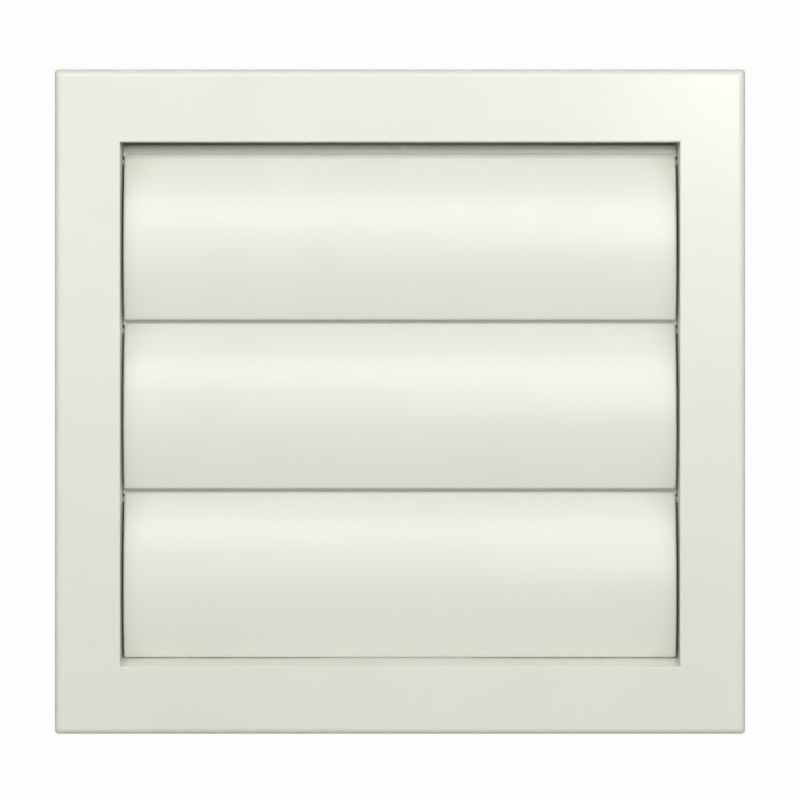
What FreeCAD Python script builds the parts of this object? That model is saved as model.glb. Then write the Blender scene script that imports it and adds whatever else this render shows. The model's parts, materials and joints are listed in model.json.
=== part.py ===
"""Gravity-flap wall grille for a 100 mm round duct. All sizes are in millimetres.

X runs to the right seen from the front, Y into the wall and Z up. The origin is on the spigot's
axis, in the plane of the wall, so the housing stands at negative Y and the spigot at positive Y.
A depth is measured backwards from the front face of the frame.
"""
import FreeCAD
import Part
import math
import os

# Housing
face_width = 140.0
face_height = 134.8
stand_off = 22.0            # wall plane to front face
face_thickness = 2.5
skirt_wall = 2.0
skirt_clear_of_wall = 0.4
outer_edge_radius = 1.4
outer_corner_radius = 0.8
side_border = 13.25
top_border = 14.8
bottom_border = 13.65

# Walls of the opening behind the face
reveal_wall = 2.0
reveal_draft = 1.2          # degrees, the opening narrows towards the back
opening_edge_radius = 0.3
sill_slope = 14.0           # degrees, the sill drains to the front
swing_clearance_front = 1.2  # top wall to what the top flap's upper edge sweeps
swing_clearance_above = 2.5

# Flaps
flap_count = 3
flap_names = ["top_flap", "middle_flap", "bottom_flap"]
pivot_depth = 8.2
pin_radius = 0.6
pin_clearance = 0.05
pin_end_gap = 0.3           # end of a pin to the outer side of its wall
flap_end_gap = 0.35         # flap end to wall, at the pivot
bead_overhang = 0.25        # bead beyond the skin, at each end
bead_end_drop = 0.35        # longer ends of the bead below the groove
skin = 1.2
cheek = 1.2
bar_thickness = 2.0
bar_above_pivot = 3.5
bar_below_pivot = 1.3
flap_top_gap = 0.3          # top edge of the top flap to the top of the opening
bead_height = 1.55
groove_width = 0.4
groove_depth = 0.25
lip_overlap = 1.05          # lip over the top edge of the flap below
lip_gap = 0.8               # back of a lip to the front of the bar below
sill_gap = 0.35
flap_crown = 3.2            # height of the skin's arc over its chord
gate_mark_width = 2.9
gate_mark_forward = 0.95    # front of the gate mark, from the pivot axis
gate_mark_offset = 1.55     # to the right of the flap's middle
gate_high_width = 1.1       # the left part reaches the top of the bead
gate_low_width = 0.9        # the right part ends lower
gate_low_drop = 0.4

# Wall plate and spigot
plate_thickness = 2.5
plate_clearance = 0.3       # plate edge to the inside of the skirt
collar_wall = 2.0
spigot_radius = 49.0
spigot_wall = 2.0
spigot_length = 35.0
spigot_lead_in = 1.2
wall_hole_radius = 2.25
wall_hole_spacing_x = 92.0
wall_hole_spacing_z = 86.0

# Screws that hold the frame to the wall plate, driven from behind
screw_core_radius = 1.2
screw_thread_length = 9.5
screw_tip_length = 1.5
screw_head_radius = 2.8
screw_head_height = 1.9
screw_hole_clearance = 0.4
head_side_clearance = 0.4
head_sunk_below_wall_face = 0.6
seat_thickness = 2.5        # plastic under the head
boss_wall = 2.4
recess_wall = 1.4
pilot_spare_depth = 1.0
cross_slot_width = 0.7
cross_slot_length = 3.2
cross_slot_depth = 1.1

# Housing and opening, from the sizes above
half_width = face_width / 2
half_height = face_height / 2
front_y = -stand_off
face_back_y = front_y + face_thickness
skirt_inner_x = half_width - skirt_wall
skirt_inner_z = half_height - skirt_wall
opening_half_width = half_width - side_border
opening_top = half_height - top_border
opening_bottom = -half_height + bottom_border

# Pivots, and the walls that hold them
pivot_y = front_y + pivot_depth
keeper_y = pivot_y + pin_radius + pin_clearance
reveal_depth = keeper_y - front_y
narrowing = math.tan(math.radians(reveal_draft))
wall_x_at_pivot = opening_half_width - pivot_depth * narrowing
wall_x_at_keeper = opening_half_width - reveal_depth * narrowing
reveal_outer_x = opening_half_width + reveal_wall
top_pivot_z = opening_top - flap_top_gap - bar_above_pivot
bar_half_thickness = bar_thickness / 2
swing_radius = math.hypot(bar_half_thickness, bar_above_pivot)
swing_top = top_pivot_z + swing_radius + swing_clearance_above
top_reveal_depth = pivot_depth - swing_radius - swing_clearance_front
collar_top = swing_top + collar_wall

# Flap size: the lips and the sill share out the height of the opening
flap_half_width = wall_x_at_pivot - flap_end_gap
bead_half_width = flap_half_width + bead_overhang
lip_radius = skin / 2
lip_depth = pivot_depth - bar_half_thickness - lip_gap - skin
lip_rise = bar_above_pivot - lip_overlap
sill_rise = math.tan(math.radians(sill_slope))
sill_back_z = opening_bottom + reveal_depth * sill_rise
sill_at_lip_z = opening_bottom + (lip_depth + lip_radius) * sill_rise
flap_pitch = (top_pivot_z + lip_rise - sill_at_lip_z - sill_gap) / flap_count
flap_reach = flap_pitch - lip_rise
skin_top = bar_above_pivot - bead_height - groove_width

# Screws and their bosses
screw_hole_radius = screw_core_radius + screw_hole_clearance
boss_radius = screw_core_radius + boss_wall
head_recess_radius = screw_head_radius + head_side_clearance
head_seat_y = -screw_head_height - head_sunk_below_wall_face
plate_boss_radius = head_recess_radius + recess_wall
plate_boss_y = head_seat_y - seat_thickness
pilot_end_y = head_seat_y - screw_thread_length - pilot_spare_depth
screw_x = skirt_inner_x - plate_clearance - plate_boss_radius
screw_z = skirt_inner_z - plate_clearance - plate_boss_radius


def vec(x, y, z):
    return FreeCAD.Vector(x, y, z)


def block(x_range, y_range, z_range):
    """A box between two values along each axis."""
    x0, x1 = x_range
    y0, y1 = y_range
    z0, z1 = z_range
    return Part.makeBox(x1 - x0, y1 - y0, z1 - z0, vec(x0, y0, z0))


def rod(radius, x, z, y0, y1):
    """A cylinder along Y."""
    return Part.makeCylinder(radius, y1 - y0, vec(x, y0, z), vec(0, 1, 0))


def bar(radius, y, z, x0, x1):
    """A cylinder along X."""
    return Part.makeCylinder(radius, x1 - x0, vec(x0, y, z), vec(1, 0, 0))


def prism_x(edges, x0, x1):
    """The solid that a closed outline, drawn at X = 0, sweeps between two values of X."""
    face = Part.Face(Part.Wire(edges))
    face.translate(vec(x0, 0, 0))
    return face.extrude(vec(x1 - x0, 0, 0))


def polygon_edges(points):
    """Straight edges through (y, z) points, closed at the end."""
    ends = [vec(0, y, z) for y, z in points]
    following = ends[1:] + ends[:1]
    return [Part.LineSegment(a, b).toShape() for a, b in zip(ends, following)]


def both_sides(shape):
    return [shape, shape.mirror(vec(0, 0, 0), vec(1, 0, 0))]


def four_corners(x, z):
    """The four places at plus and minus x and z."""
    return [(sx * x, sz * z) for sx in (-1, 1) for sz in (-1, 1)]


def round_edges(shape, radius, matches):
    """Fillets every edge whose bounding box passes the test."""
    return shape.makeFillet(radius, [edge for edge in shape.Edges if matches(edge.BoundBox)])


def pivot_heights():
    return [top_pivot_z - index * flap_pitch for index in range(flap_count)]


# ---------------------------------------------------------------- front frame

def frame_shell():
    """Face plate and skirt: a tray, open at the back, with rounded outer edges."""
    back_y = -skirt_clear_of_wall
    outer = block((-half_width, half_width), (front_y, back_y), (-half_height, half_height))
    outer = round_edges(outer, outer_corner_radius, lambda box: box.YLength > stand_off / 2)
    rim_y = front_y + outer_edge_radius / 2
    outer = round_edges(outer, outer_edge_radius, lambda box: box.YMax < rim_y)
    hollow = block((-skirt_inner_x, skirt_inner_x), (face_back_y, 0), (-skirt_inner_z, skirt_inner_z))
    return outer.cut(hollow)


def opening_void():
    """The space inside the walls: drafted sides, level top, sill sloping down to the front."""
    front_x = opening_half_width
    back_x = wall_x_at_keeper
    plan = [(-front_x, front_y), (front_x, front_y), (back_x, keeper_y), (-back_x, keeper_y)]
    outline = Part.makePolygon([vec(x, y, -face_height) for x, y in plan + plan[:1]])
    column = Part.Face(outline).extrude(vec(0, 0, 2 * face_height))
    top_wall_y = front_y + top_reveal_depth
    side = [
        (front_y, opening_top),
        (front_y, opening_bottom),
        (keeper_y, sill_back_z),
        (keeper_y, swing_top),
        (top_wall_y, swing_top),
        (top_wall_y, opening_top),
    ]
    return column.common(prism_x(polygon_edges(side), -half_width, half_width))


def opening_walls():
    """The walls round the opening, as blocks still to be cut through."""
    x_range = (-reveal_outer_x, reveal_outer_x)
    top = opening_top + reveal_wall
    upper = block(x_range, (front_y, front_y + top_reveal_depth), (0, top))
    lower_outline = [
        (front_y, 0),
        (front_y, opening_bottom - reveal_wall),
        (keeper_y, sill_back_z - reveal_wall),
        (keeper_y, 0),
    ]
    lower = prism_x(polygon_edges(lower_outline), *x_range)
    side_x = (wall_x_at_keeper - reveal_wall, reveal_outer_x)
    side = block(side_x, (front_y, keeper_y), (0, swing_top))
    return upper.fuse([lower] + both_sides(side))


def pivot_slot(z):
    """A slot open at the back, through one side wall, that a flap's pin drops into."""
    radius = pin_radius + pin_clearance
    x_range = (wall_x_at_keeper - reveal_wall, reveal_outer_x + reveal_wall)
    end = bar(radius, pivot_y, z, *x_range)
    return end.fuse(block(x_range, (pivot_y, keeper_y), (z - radius, z + radius)))


def front_frame():
    bosses = [
        rod(boss_radius, x, z, face_back_y, plate_boss_y)
        for x, z in four_corners(screw_x, screw_z)
    ]
    body = frame_shell().fuse([opening_walls()] + bosses).cut(opening_void()).removeSplitter()

    def is_opening_edge(box):
        slack = opening_edge_radius / 2
        at_front = box.YMax < front_y + slack
        within_sides = max(-box.XMin, box.XMax) < opening_half_width + slack
        return at_front and within_sides and box.ZMax < opening_top + slack

    body = round_edges(body, opening_edge_radius, is_opening_edge)
    cuts = []
    for z in pivot_heights():
        cuts += both_sides(pivot_slot(z))
    for x, z in four_corners(screw_x, screw_z):
        cuts.append(rod(screw_core_radius, x, z, pilot_end_y, 0))
    return body.cut(cuts).removeSplitter()


# ---------------------------------------------------------------- wall plate

def keeper_collar():
    """Walls that stand forward of the plate, box in the air path and close the pin slots."""
    inner_x = wall_x_at_keeper
    outer_x = inner_x + collar_wall
    plate_y = -plate_thickness
    sill_underside = sill_back_z - reveal_wall
    side = block((inner_x, outer_x), (keeper_y, plate_y), (sill_underside, collar_top))
    bottom = block((-outer_x, outer_x), (keeper_y, plate_y), (sill_underside, sill_back_z))
    top = block((-outer_x, outer_x), (face_back_y, plate_y), (swing_top, collar_top))
    return both_sides(side) + [bottom, top]


def spigot():
    tube = rod(spigot_radius, 0, 0, -plate_thickness, spigot_length)
    return round_edges(tube, spigot_lead_in, lambda box: box.YMin > spigot_length / 2)


def spigot_base():
    """Plate with its spigot, collar, screw bosses and the holes for the wall screws."""
    plate_x = skirt_inner_x - plate_clearance
    plate_z = skirt_inner_z - plate_clearance
    plate = block((-plate_x, plate_x), (-plate_thickness, 0), (-plate_z, plate_z))
    screw_places = four_corners(screw_x, screw_z)
    bosses = [rod(plate_boss_radius, x, z, plate_boss_y, 0) for x, z in screw_places]
    body = plate.fuse(bosses + [spigot()] + keeper_collar())
    cuts = [rod(spigot_radius - spigot_wall, 0, 0, -stand_off, spigot_length + spigot_lead_in)]
    for x, z in screw_places:
        cuts.append(rod(screw_hole_radius, x, z, -stand_off, 0))
        cuts.append(rod(head_recess_radius, x, z, head_seat_y, 0))
    for x, z in four_corners(wall_hole_spacing_x / 2, wall_hole_spacing_z / 2):
        cuts.append(rod(wall_hole_radius, x, z, -stand_off, 0))
    return body.cut(cuts).removeSplitter()


# ---------------------------------------------------------------- screws

def cross_recess(top_y):
    slot_y = (top_y - cross_slot_depth, top_y)
    along = (-cross_slot_length / 2, cross_slot_length / 2)
    across = (-cross_slot_width / 2, cross_slot_width / 2)
    return block(along, slot_y, across).fuse(block(across, slot_y, along))


def assembly_screw():
    """Pan-head self-tapping screw on the Y axis, its thread drawn at core size."""
    top_y = head_seat_y + screw_head_height
    head_round = screw_head_height / 2
    head = rod(screw_head_radius, 0, 0, head_seat_y, top_y)
    head = round_edges(head, head_round, lambda box: box.YMin > top_y - head_round)
    tip_base_y = head_seat_y - screw_thread_length + screw_tip_length
    shank = rod(screw_core_radius, 0, 0, tip_base_y, head_seat_y)
    tip = Part.makeCone(
        screw_core_radius, screw_core_radius / 4, screw_tip_length, vec(0, tip_base_y, 0), vec(0, -1, 0)
    )
    return head.fuse([shank, tip]).cut(cross_recess(top_y)).removeSplitter()


def assembly_screws():
    screws = []
    for x, z in four_corners(screw_x, screw_z):
        screw = assembly_screw()
        screw.translate(vec(x, 0, z))
        screws.append(screw)
    return Part.makeCompound(screws)


# ---------------------------------------------------------------- flaps

class SkinArc:
    """The curve of a flap's front, in (y, z) from the pivot axis, with +y towards the wall."""

    def __init__(self):
        start = (-bar_half_thickness, skin_top)
        # The rounded tip hangs about half its radius below the end of the arc.
        end = (lip_depth - pivot_depth, -(flap_reach - lip_radius / 2))
        run_y = end[0] - start[0]
        run_z = end[1] - start[1]
        chord = math.hypot(run_y, run_z)
        self.radius = (chord * chord / 4 + flap_crown * flap_crown) / (2 * flap_crown)
        # The centre lies behind the chord, on the perpendicular through its middle.
        inward = self.radius - flap_crown
        self.centre_y = (start[0] + end[0]) / 2 - run_z / chord * inward
        self.centre_z = (start[1] + end[1]) / 2 + run_y / chord * inward
        self.start_angle = self.angle_of(start)
        self.end_angle = self.angle_of(end)

    def angle_of(self, point):
        angle = math.atan2(point[1] - self.centre_z, point[0] - self.centre_y)
        return angle % (2 * math.pi)

    def at(self, inset, angle):
        """A point this far under the front surface."""
        radius = self.radius - inset
        y = self.centre_y + radius * math.cos(angle)
        z = self.centre_z + radius * math.sin(angle)
        return vec(0, y, z)

    def curve(self, inset, first_angle, last_angle):
        middle = (first_angle + last_angle) / 2
        points = [self.at(inset, angle) for angle in (first_angle, middle, last_angle)]
        return Part.Arc(*points).toShape()


def flap_outside(arc):
    """The flap as if it were solid: curved front, round lip and a straight back."""
    first, last = arc.start_angle, arc.end_angle
    tip = arc.at(lip_radius, last + lip_radius / (arc.radius - lip_radius))
    back_corner = vec(0, bar_half_thickness, -bar_below_pivot)
    outline = [
        arc.curve(0, first, last),
        Part.Arc(arc.at(0, last), tip, arc.at(skin, last)).toShape(),
        Part.LineSegment(arc.at(skin, last), back_corner).toShape(),
        Part.LineSegment(back_corner, arc.at(0, first)).toShape(),
    ]
    return prism_x(outline, -flap_half_width, flap_half_width)


def flap_hollow(arc):
    """What is left open behind the skin, between the two end webs."""
    first, last = arc.start_angle, arc.end_angle
    top = arc.at(skin, first)
    bottom = arc.at(skin, last)
    behind = bar_thickness
    corners = [bottom, vec(0, behind, bottom.z), vec(0, behind, top.z), top]
    outline = [arc.curve(skin, first, last)]
    outline += [Part.LineSegment(a, b).toShape() for a, b in zip(corners, corners[1:])]
    return prism_x(outline, cheek - flap_half_width, flap_half_width - cheek)


def hinge_bar():
    """The thick top edge: a round-topped bead over a fine groove, in line with the pins."""
    x_range = (-flap_half_width, flap_half_width)
    bead_x_range = (-bead_half_width, bead_half_width)
    y_range = (-bar_half_thickness, bar_half_thickness)
    shoulder = bar_above_pivot - bar_half_thickness
    body = block(x_range, y_range, (-bar_below_pivot, shoulder))
    bead = block(bead_x_range, y_range, (skin_top - bead_end_drop, shoulder))
    crown = bar(bar_half_thickness, 0, shoulder, *bead_x_range)
    groove_y_range = (-bar_thickness, groove_depth - bar_half_thickness)
    groove = block(bead_x_range, groove_y_range, (skin_top, skin_top + groove_width))
    return body.fuse([bead, crown]).cut(groove)


def gate_mark():
    """What is left of the moulding gate: a high and a low lump on the bead's front shoulder."""
    left = gate_mark_offset - gate_mark_width / 2
    right = gate_mark_offset + gate_mark_width / 2
    y_range = (-gate_mark_forward, 0)
    high = block((left, left + gate_high_width), y_range, (0, bar_above_pivot))
    low = block((right - gate_low_width, right), y_range, (0, bar_above_pivot - gate_low_drop))
    return [high, low]


def pivot_pin():
    return bar(pin_radius, 0, 0, flap_half_width - cheek, reveal_outer_x - pin_end_gap)


def flap(pivot_z):
    arc = SkinArc()
    sheet = flap_outside(arc).cut(flap_hollow(arc))
    shape = sheet.fuse([hinge_bar()] + gate_mark() + both_sides(pivot_pin())).removeSplitter()
    shape.translate(vec(0, pivot_y, pivot_z))
    return shape


def build():
    nodes = {
        "front_frame": front_frame(),
        "spigot_base": spigot_base(),
        "assembly_screws": assembly_screws(),
    }
    for name, z in zip(flap_names, pivot_heights()):
        nodes[name] = flap(z)
    return nodes


def main():
    os.makedirs("parts", exist_ok=True)
    for name, shape in build().items():
        if not shape.isValid():
            raise ValueError(name + " is not a valid shape")
        shape.exportStep("parts/" + name + ".step")
        box = shape.BoundBox
        print(
            f"{name}: {len(shape.Solids)} solid(s), {shape.Volume:.0f} mm3,"
            f" x {box.XMin:.2f}..{box.XMax:.2f}"
            f" y {box.YMin:.2f}..{box.YMax:.2f} z {box.ZMin:.2f}..{box.ZMax:.2f}"
        )
    print(f"pivots: y {pivot_y:.3f}, z {[round(z, 4) for z in pivot_heights()]}, pitch {flap_pitch:.4f}")
    print(f"wall of the top opening ends at depth {top_reveal_depth:.2f}, swing top {swing_top:.2f}")


main()
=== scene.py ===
"""Looks of the gravity-flap wall grille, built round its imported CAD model. Blender units are metres.

The frame, wall plate and screws are the CAD nodes with their own materials. Each flap is a
moulding made here in mesh code, with the CAD flap's section and rounded ends.
"""
import json
import math

import bmesh
import bpy
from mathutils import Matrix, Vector


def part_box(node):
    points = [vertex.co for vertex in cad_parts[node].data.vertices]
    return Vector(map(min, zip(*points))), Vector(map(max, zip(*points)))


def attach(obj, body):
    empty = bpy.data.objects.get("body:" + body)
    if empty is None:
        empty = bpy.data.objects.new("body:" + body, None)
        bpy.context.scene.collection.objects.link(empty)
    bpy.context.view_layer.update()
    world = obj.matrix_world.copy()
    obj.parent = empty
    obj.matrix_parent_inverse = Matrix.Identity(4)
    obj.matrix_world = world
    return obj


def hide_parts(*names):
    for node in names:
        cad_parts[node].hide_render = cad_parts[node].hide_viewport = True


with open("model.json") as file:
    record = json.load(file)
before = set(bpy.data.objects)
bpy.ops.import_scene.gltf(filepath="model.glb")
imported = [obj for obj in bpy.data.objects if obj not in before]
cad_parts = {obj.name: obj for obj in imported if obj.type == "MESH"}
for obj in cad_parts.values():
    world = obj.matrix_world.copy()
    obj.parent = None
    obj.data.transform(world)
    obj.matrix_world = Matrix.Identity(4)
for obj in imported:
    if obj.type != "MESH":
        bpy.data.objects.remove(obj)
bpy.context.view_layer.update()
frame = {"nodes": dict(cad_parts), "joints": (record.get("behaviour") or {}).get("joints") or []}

MM = 0.001

# Flap section, in millimetres from the pivot axis, as in the CAD model
pin_radius = 0.6
pin_length = 2.222           # flap end to pin end
bar_half_thickness = 1.0
bar_above_pivot = 3.5
bar_below_pivot = 1.3
bead_height = 1.55
bead_overhang = 0.25
bead_end_drop = 0.35
groove_width = 0.4
groove_depth = 0.25
skin = 1.2
cheek = 1.2
flap_crown = 3.2
lip_from_pivot = 3.0         # end of the front's arc, in front of the pivot
gate_mark_width = 2.9
gate_mark_forward = 0.95
gate_mark_offset = 1.55
gate_high_width = 1.1
gate_low_width = 0.9
gate_low_drop = 0.4

# Rounding that the moulding has and the CAD flap leaves out, in millimetres
end_round = 0.5
corner_round = 0.15
small_round = 0.12
gate_shoulder_drop = 0.15    # from the gate mark's top down to its front corner
gate_front_drop = 0.4        # from the gate mark's top down to its front face

# Shares and angles of that rounding
least_end_round = 0.25       # share of end_round left on the back and the bead
end_round_growth = 1.4       # how fast the rest of it grows as the surface turns to the front
groove_floor_share = 0.7     # depth of the groove's sides, as a share of its full depth
gate_flat_share = 0.72       # flat part of the gate mark's top, as a share of its depth
gate_shoulder_share = 0.93   # where its front corner starts, as a share of its depth
sharp_angle = 35             # degrees, edges sharper than this stay sharp

# Mesh density
arc_steps = 30
small_arc_steps = 8
end_steps = 5
pin_sides = 28
span_steps = 16


# ---------------------------------------------------------------- mesh helpers

def on_arc(centre, radius, first, last, steps):
    """Points along an arc in (y, z), both ends included."""
    angles = [first + (last - first) * k / steps for k in range(steps + 1)]
    return [(centre[0] + radius * math.cos(a), centre[1] + radius * math.sin(a)) for a in angles]


def ring(builder, x, points):
    """Vertices at one value of X, from (y, z) points in millimetres."""
    return [builder.verts.new(Vector((x, y, z)) * MM) for y, z in points]


def skin_between(builder, first, second):
    """Quads between two closed rings of the same length."""
    for k in range(len(first)):
        after = (k + 1) % len(first)
        builder.faces.new((first[k], first[after], second[after], second[k]))


def inward_normals(outline):
    """The inward direction at each point of a closed outline that turns anticlockwise."""
    normals = []
    for k, point in enumerate(outline):
        before = outline[k - 1]
        after = outline[(k + 1) % len(outline)]
        total = Vector((0.0, 0.0))
        for a, b in ((before, point), (point, after)):
            step = Vector(b) - Vector(a)
            total += Vector((-step.y, step.x)).normalized()
        normals.append(total.normalized())
    return normals


def rounded_bar(builder, outline, ends, radii, steps):
    """A closed bar along X whose outline shrinks in a quarter round at each end."""
    normals = inward_normals(outline)
    rings = []
    for side, end, radius in zip((-1, 1), ends, radii):
        turns = [k / steps for k in range(steps + 1)]
        if side < 0:
            turns.reverse()
        for turn in turns:
            angle = turn * math.pi / 2
            inset = radius * (1 - math.cos(angle))
            x = end + side * radius * (math.sin(angle) - 1)
            points = [(y + n.x * inset, z + n.y * inset) for (y, z), n in zip(outline, normals)]
            rings.append(ring(builder, x, points))
    for a, b in zip(rings, rings[1:]):
        skin_between(builder, a, b)
    builder.faces.new(rings[0])
    builder.faces.new(rings[-1])


def finished_mesh(builder, name, material):
    """A mesh with outward normals, smooth faces and sharp edges kept."""
    bmesh.ops.recalc_face_normals(builder, faces=builder.faces)
    mesh = bpy.data.meshes.new(name)
    builder.to_mesh(mesh)
    builder.free()
    mesh.materials.append(material)
    mesh.shade_smooth()
    mesh.set_sharp_from_angle(angle=math.radians(sharp_angle))
    return mesh


# ---------------------------------------------------------------- flap section

class FlapSection:
    """The flap's outline in (y, z) from the pivot, in millimetres, with +y towards the wall."""

    def __init__(self, reach):
        self.skin_top = bar_above_pivot - bead_height - groove_width
        start = (-bar_half_thickness, self.skin_top)
        # The arc stops a quarter of the skin short of the reach; the round tip passes it by 0.11 mm.
        end = (-lip_from_pivot, skin / 4 - reach)
        run_y = end[0] - start[0]
        run_z = end[1] - start[1]
        chord = math.hypot(run_y, run_z)
        self.radius = (chord * chord / 4 + flap_crown * flap_crown) / (2 * flap_crown)
        inward = self.radius - flap_crown
        self.centre = (
            (start[0] + end[0]) / 2 - run_z / chord * inward,
            (start[1] + end[1]) / 2 + run_y / chord * inward,
        )
        self.first = self.angle_of(start)
        self.last = self.angle_of(end)

    def angle_of(self, point):
        return math.atan2(point[1] - self.centre[1], point[0] - self.centre[0]) % (2 * math.pi)

    def at(self, inset, angle):
        radius = self.radius - inset
        return (self.centre[0] + radius * math.cos(angle), self.centre[1] + radius * math.sin(angle))

    def bead(self):
        """Up the back of the bar, over the round crown and down its front past the groove."""
        back = [(bar_half_thickness, corner_round - bar_below_pivot), (bar_half_thickness, 0.0)]
        shoulder = bar_above_pivot - bar_half_thickness
        crown = on_arc((0.0, shoulder), bar_half_thickness, 0.0, math.pi, 2 * small_arc_steps)
        face = -bar_half_thickness
        middle = self.skin_top + groove_width / 2
        mouth = groove_width / 2
        floor = groove_width / 4
        groove = [
            (face, middle + mouth),
            (face + groove_depth * groove_floor_share, middle + floor),
            (face + groove_depth, middle),
            (face + groove_depth * groove_floor_share, middle - floor),
        ]
        return back + crown + groove

    def front(self):
        """Down the curved front and round the lip."""
        arc = on_arc(self.centre, self.radius, self.first, self.last, arc_steps)
        lip_centre = self.at(skin / 2, self.last)
        lip = on_arc(lip_centre, skin / 2, self.last, self.last + math.pi, small_arc_steps)
        return arc + lip[1:]

    def inside(self):
        """Up the back of the skin, then along the underside of the bar."""
        under = -bar_below_pivot
        meets = math.pi + math.asin((self.centre[1] - under) / (self.radius - skin))
        arc = on_arc(self.centre, self.radius - skin, self.last, meets, arc_steps)
        return arc[1:] + [(bar_half_thickness - corner_round, under)]

    def ear(self):
        """The end of the bead that stands out beyond the skin."""
        slim = small_round / 2
        low = self.skin_top - bead_end_drop
        radius = bar_half_thickness - slim
        shoulder = bar_above_pivot - bar_half_thickness
        crown = on_arc((0.0, shoulder), radius, 0.0, math.pi, 2 * small_arc_steps)
        return [(radius, low)] + crown + [(-radius, low)]


# ---------------------------------------------------------------- flap mesh

def moulding(builder, section, half_width):
    """The flap without its pins: rounded ends, end webs and the open middle."""
    outer = section.bead() + section.front()
    inner = section.inside()
    normals = inward_normals(outer)
    # The end round is full on the front and the lip, and small on the back and the bead.
    bead_count = len(section.bead())
    weights = []
    for k, normal in enumerate(normals):
        facing = 0.0 if k < bead_count else min(max(normal.x, normal.y, 0.0) * end_round_growth, 1.0)
        weights.append(least_end_round + (1 - least_end_round) * facing)

    def end_ring(side, turn):
        """The outline part of the way, from 0 to 1, round the edge of an end."""
        angle = turn * math.pi / 2
        verts = []
        for (y, z), normal, weight in zip(outer, normals, weights):
            radius = end_round * weight
            inset = radius * (1 - math.cos(angle))
            x = side * (half_width + radius * (math.sin(angle) - 1))
            verts.append(builder.verts.new(Vector((x, y + normal.x * inset, z + normal.y * inset)) * MM))
        return verts

    web_x = half_width - cheek
    webs = []
    for side in (-1, 1):
        rings = [ring(builder, side * web_x, outer)]
        rings += [end_ring(side, k / end_steps) for k in range(end_steps + 1)]
        for a, b in zip(rings, rings[1:]):
            skin_between(builder, a, b)
        builder.faces.new(rings[-1])
        inside = ring(builder, side * web_x, inner)
        builder.faces.new([rings[0][-1]] + inside + [rings[0][0]])
        webs.append(rings[0] + inside)
    middle = [
        ring(builder, web_x * (2 * k / span_steps - 1), outer + inner)
        for k in range(1, span_steps)
    ]
    stations = [webs[0]] + middle + [webs[1]]
    for a, b in zip(stations, stations[1:]):
        skin_between(builder, a, b)


def pins_and_ears(builder, section, half_width):
    """Both pins and both ends of the bead, each rooted inside its web."""
    root = half_width - cheek / 2
    circle = on_arc((0.0, 0.0), pin_radius, 0.0, 2 * math.pi, pin_sides)[:-1]
    for outline, reach in ((circle, pin_length), (section.ear(), bead_overhang)):
        tip = half_width + reach
        radii = (small_round / 2, small_round)
        rounded_bar(builder, outline, (root, tip), radii, end_steps)
        rounded_bar(builder, outline, (-tip, -root), radii[::-1], end_steps)


def gate_mark(builder):
    """A high and a low lump on the bead's front shoulder, where the gate was cut off."""
    left = gate_mark_offset - gate_mark_width / 2
    right = gate_mark_offset + gate_mark_width / 2
    lumps = (
        (left, left + gate_high_width, bar_above_pivot - small_round / 2),
        (right - gate_low_width, right, bar_above_pivot - gate_low_drop),
    )
    for x0, x1, top in lumps:
        front = -gate_mark_forward
        low = bar_above_pivot - bar_half_thickness
        outline = [
            (0.0, low),
            (0.0, top),
            (front * gate_flat_share, top),
            (front * gate_shoulder_share, top - gate_shoulder_drop),
            (front, top - gate_front_drop),
            (front, low),
        ]
        rounded_bar(builder, outline, (x0, x1), (small_round, small_round), end_steps)


def make_flap(body, material):
    """A flap's mesh at its place in the row frame, in place of the CAD node of the same name."""
    hinge = next(joint for joint in frame["joints"] if joint["child"] == body)
    low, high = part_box(body)
    pivot = Vector(hinge["pos_m"])
    reach = (pivot.z - low.z) / MM
    half_width = high.x / MM - pin_length
    section = FlapSection(reach)
    builder = bmesh.new()
    moulding(builder, section, half_width)
    pins_and_ears(builder, section, half_width)
    gate_mark(builder)
    bmesh.ops.translate(builder, verts=builder.verts, vec=pivot)
    mesh = finished_mesh(builder, body + "_moulding", material)
    piece = bpy.data.objects.new(body + "_moulding", mesh)
    bpy.context.scene.collection.objects.link(piece)
    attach(piece, body)
    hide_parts(body)
    return piece


# ---------------------------------------------------------------- materials

def new_material(name):
    material = bpy.data.materials.new(name)
    material.use_nodes = True
    nodes = material.node_tree.nodes
    return material, nodes, material.node_tree.links, nodes["Principled BSDF"]


def noise(nodes, links, place, scale, detail, roughness=0.5):
    texture = nodes.new("ShaderNodeTexNoise")
    texture.inputs["Scale"].default_value = scale
    texture.inputs["Detail"].default_value = detail
    texture.inputs["Roughness"].default_value = roughness
    links.new(place.outputs["Object"], texture.inputs["Vector"])
    return texture


def spread(nodes, links, source, low, high):
    """Maps the middle of a noise's range to a range of values."""
    node = nodes.new("ShaderNodeMapRange")
    node.inputs["From Min"].default_value = 0.3
    node.inputs["From Max"].default_value = 0.7
    node.inputs["To Min"].default_value = low
    node.inputs["To Max"].default_value = high
    links.new(source, node.inputs["Value"])
    return node


def bump(nodes, links, height, strength, distance, before=None):
    node = nodes.new("ShaderNodeBump")
    node.inputs["Strength"].default_value = strength
    node.inputs["Distance"].default_value = distance
    links.new(height, node.inputs["Height"])
    if before is not None:
        links.new(before.outputs["Normal"], node.inputs["Normal"])
    return node


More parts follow.
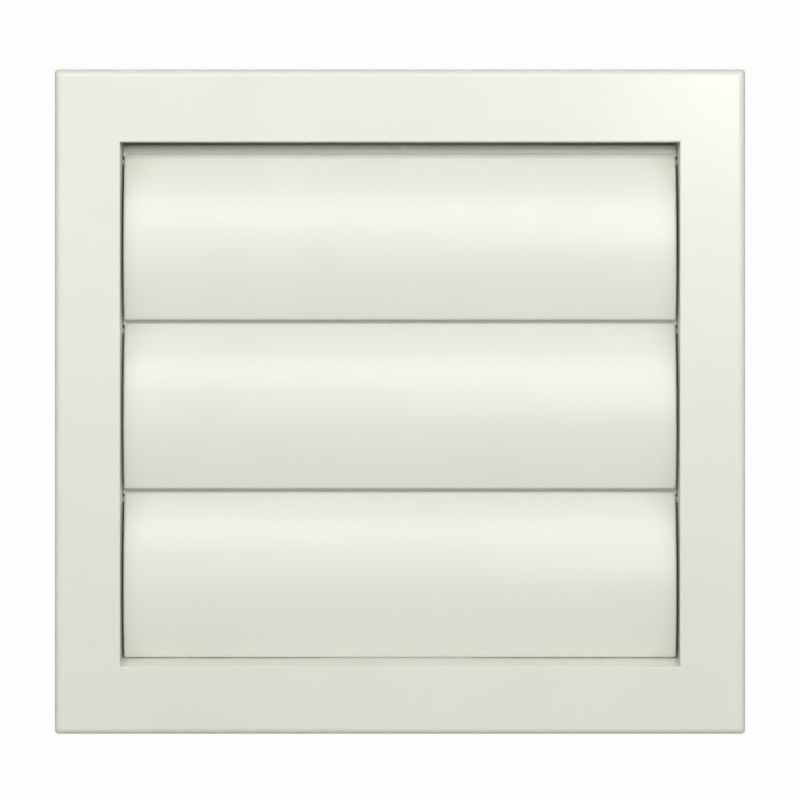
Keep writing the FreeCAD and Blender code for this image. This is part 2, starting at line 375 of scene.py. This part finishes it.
def moulded_plastic(name, light, dark, roughness, grain_strength):
    """Glossy moulded plastic: faint flow shading, uneven gloss, orange peel and fine mould grain."""
    material, nodes, links, shader = new_material(name)
    place = nodes.new("ShaderNodeTexCoord")
    flow = noise(nodes, links, place, 34.0, 3.0)
    mix = nodes.new("ShaderNodeMix")
    mix.data_type = "RGBA"
    mix.inputs["A"].default_value = (*dark, 1)
    mix.inputs["B"].default_value = (*light, 1)
    tint = spread(nodes, links, flow.outputs["Fac"], 0.0, 1.0)
    links.new(tint.outputs["Result"], mix.inputs["Factor"])
    links.new(mix.outputs["Result"], shader.inputs["Base Color"])
    wipe = noise(nodes, links, place, 120.0, 4.0, 0.6)
    rough = spread(nodes, links, wipe.outputs["Fac"], roughness - 0.02, roughness + 0.02)
    links.new(rough.outputs["Result"], shader.inputs["Roughness"])
    peel = noise(nodes, links, place, 650.0, 2.0)
    grain = noise(nodes, links, place, 9000.0, 2.0)
    coarse = bump(nodes, links, peel.outputs["Fac"], 0.05 * grain_strength, 0.0002)
    fine = bump(nodes, links, grain.outputs["Fac"], 0.04 * grain_strength, 0.00002, coarse)
    links.new(fine.outputs["Normal"], shader.inputs["Normal"])
    shader.inputs["IOR"].default_value = 1.5
    return material


def plated_steel(name):
    """Zinc-plated screw steel, with the fine turning marks and dull patches of barrel plating."""
    material, nodes, links, shader = new_material(name)
    place = nodes.new("ShaderNodeTexCoord")
    patches = noise(nodes, links, place, 900.0, 4.0)
    mix = nodes.new("ShaderNodeMix")
    mix.data_type = "RGBA"
    mix.inputs["A"].default_value = (0.42, 0.43, 0.45, 1)
    mix.inputs["B"].default_value = (0.66, 0.67, 0.68, 1)
    tint = spread(nodes, links, patches.outputs["Fac"], 0.0, 1.0)
    links.new(tint.outputs["Result"], mix.inputs["Factor"])
    links.new(mix.outputs["Result"], shader.inputs["Base Color"])
    rough = spread(nodes, links, patches.outputs["Fac"], 0.38, 0.24)
    links.new(rough.outputs["Result"], shader.inputs["Roughness"])
    marks = noise(nodes, links, place, 6000.0, 3.0)
    relief = bump(nodes, links, marks.outputs["Fac"], 0.2, 0.00003)
    links.new(relief.outputs["Normal"], shader.inputs["Normal"])
    shader.inputs["Metallic"].default_value = 1.0
    return material


def floor_material():
    material, nodes, links, shader = new_material("floor_paper")
    place = nodes.new("ShaderNodeTexCoord")
    clouds = noise(nodes, links, place, 6.0, 3.0)
    shade = spread(nodes, links, clouds.outputs["Fac"], 0.80, 0.84)
    links.new(shade.outputs["Result"], shader.inputs["Base Color"])
    shader.inputs["Roughness"].default_value = 0.85
    return material


# ---------------------------------------------------------------- light, floor and camera

background_white = 0.982     # strength of the backdrop that the camera sees

# name: place, point it looks at, width and height in metres, power in watts
lights = {
    "overhead": ((0.0, -0.7, 1.0), (0.0, 0.0, 0.0), 1.4, 0.6, 1.0),
    "box_low": ((0.0, -1.3, 0.09), (0.0, 0.0, 0.0), 1.4, 0.14, 1.0),
    "near_strip": ((0.0, -0.45, 0.2), (0.0, 0.0, 0.03), 1.2, 0.12, 2.2),
    "hot_spot": ((0.2, -1.1, 0.2), (0.06, 0.0, 0.06), 0.16, 0.16, 1.0),
    "left_side": ((-1.0, -0.6, 0.1), (0.0, 0.0, 0.0), 0.8, 0.8, 1.2),
    "right_side": ((1.0, -0.6, 0.1), (0.0, 0.0, 0.0), 0.8, 0.8, 1.2),
    "behind": ((0.0, 1.0, 0.8), (0.0, 0.0, 0.0), 1.2, 0.8, 3.0),
}
ambient = 0.2                # strength of the even light from all sides


def aimed(source, target):
    return (Vector(target) - Vector(source)).to_track_quat("-Z", "Y").to_euler()


def add_lights():
    for name, (place, target, width, height, power) in lights.items():
        data = bpy.data.lights.new(name, "AREA")
        data.shape = "RECTANGLE"
        data.size = width
        data.size_y = height
        data.energy = power
        lamp = bpy.data.objects.new(name, data)
        lamp.location = place
        lamp.rotation_euler = aimed(place, target)
        bpy.context.scene.collection.objects.link(lamp)


def add_world():
    """White behind the object, and a dimmer, even light on it."""
    world = bpy.data.worlds.new("studio")
    world.use_nodes = True
    nodes = world.node_tree.nodes
    links = world.node_tree.links
    nodes["Background"].inputs["Color"].default_value = (1, 1, 1, 1)
    nodes["Background"].inputs["Strength"].default_value = ambient
    seen = nodes.new("ShaderNodeBackground")
    seen.inputs["Color"].default_value = (1, 1, 1, 1)
    seen.inputs["Strength"].default_value = background_white
    path = nodes.new("ShaderNodeLightPath")
    mix = nodes.new("ShaderNodeMixShader")
    links.new(path.outputs["Is Camera Ray"], mix.inputs["Fac"])
    links.new(nodes["Background"].outputs["Background"], mix.inputs[1])
    links.new(seen.outputs["Background"], mix.inputs[2])
    links.new(mix.outputs["Shader"], nodes["World Output"].inputs["Surface"])
    bpy.context.scene.world = world


def add_floor():
    """A pale table top, far enough under the grille to stay out of the camera's view."""
    half_x = 0.6
    front = -0.9
    back = 0.35
    top = -0.36
    thickness = 0.02
    builder = bmesh.new()
    bmesh.ops.create_cube(builder, size=1.0)
    bmesh.ops.scale(builder, verts=builder.verts, vec=(2 * half_x, back - front, thickness))
    bmesh.ops.translate(builder, verts=builder.verts, vec=(0, (front + back) / 2, top - thickness / 2))
    bmesh.ops.bevel(builder, geom=builder.edges, offset=0.004, segments=3, affect="EDGES")
    floor = bpy.data.objects.new("floor", finished_mesh(builder, "floor", floor_material()))
    bpy.context.scene.collection.objects.link(floor)


def add_camera():
    """Straight on, a metre in front of the face, with a long lens."""
    face_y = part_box("front_frame")[0].y
    distance = 1.0
    view_width = 0.16207         # what the picture spans at the face
    height = 0.0003
    data = bpy.data.cameras.new("camera")
    data.sensor_width = 36.0
    data.lens = data.sensor_width * distance / view_width
    data.clip_start = 0.05
    camera = bpy.data.objects.new("camera", data)
    camera.location = (0.0, face_y - distance, height)
    camera.rotation_euler = (math.pi / 2, 0.0, 0.0)
    bpy.context.scene.collection.objects.link(camera)
    bpy.context.scene.camera = camera


# ---------------------------------------------------------------- the scene

warm_white = (0.785, 0.795, 0.71)
warm_shade = (0.765, 0.775, 0.69)

frame_plastic = moulded_plastic("frame_plastic_look", warm_white, warm_shade, 0.18, 1.0)
flap_plastic = moulded_plastic("flap_plastic_look", warm_white, warm_shade, 0.30, 1.0)
base_plastic = moulded_plastic("base_plastic_look", warm_white, warm_shade, 0.24, 2.0)
screw_zinc = plated_steel("screw_zinc_look")

for node, material in (
    ("front_frame", frame_plastic),
    ("spigot_base", base_plastic),
    ("assembly_screws", screw_zinc),
):
    frame["nodes"][node].material_slots[0].material = material

for joint in frame["joints"]:
    make_flap(joint["child"], flap_plastic)

add_floor()
add_lights()
add_world()
add_camera()

view = bpy.context.scene.view_settings
view.view_transform = "Standard"
view.look = "None"
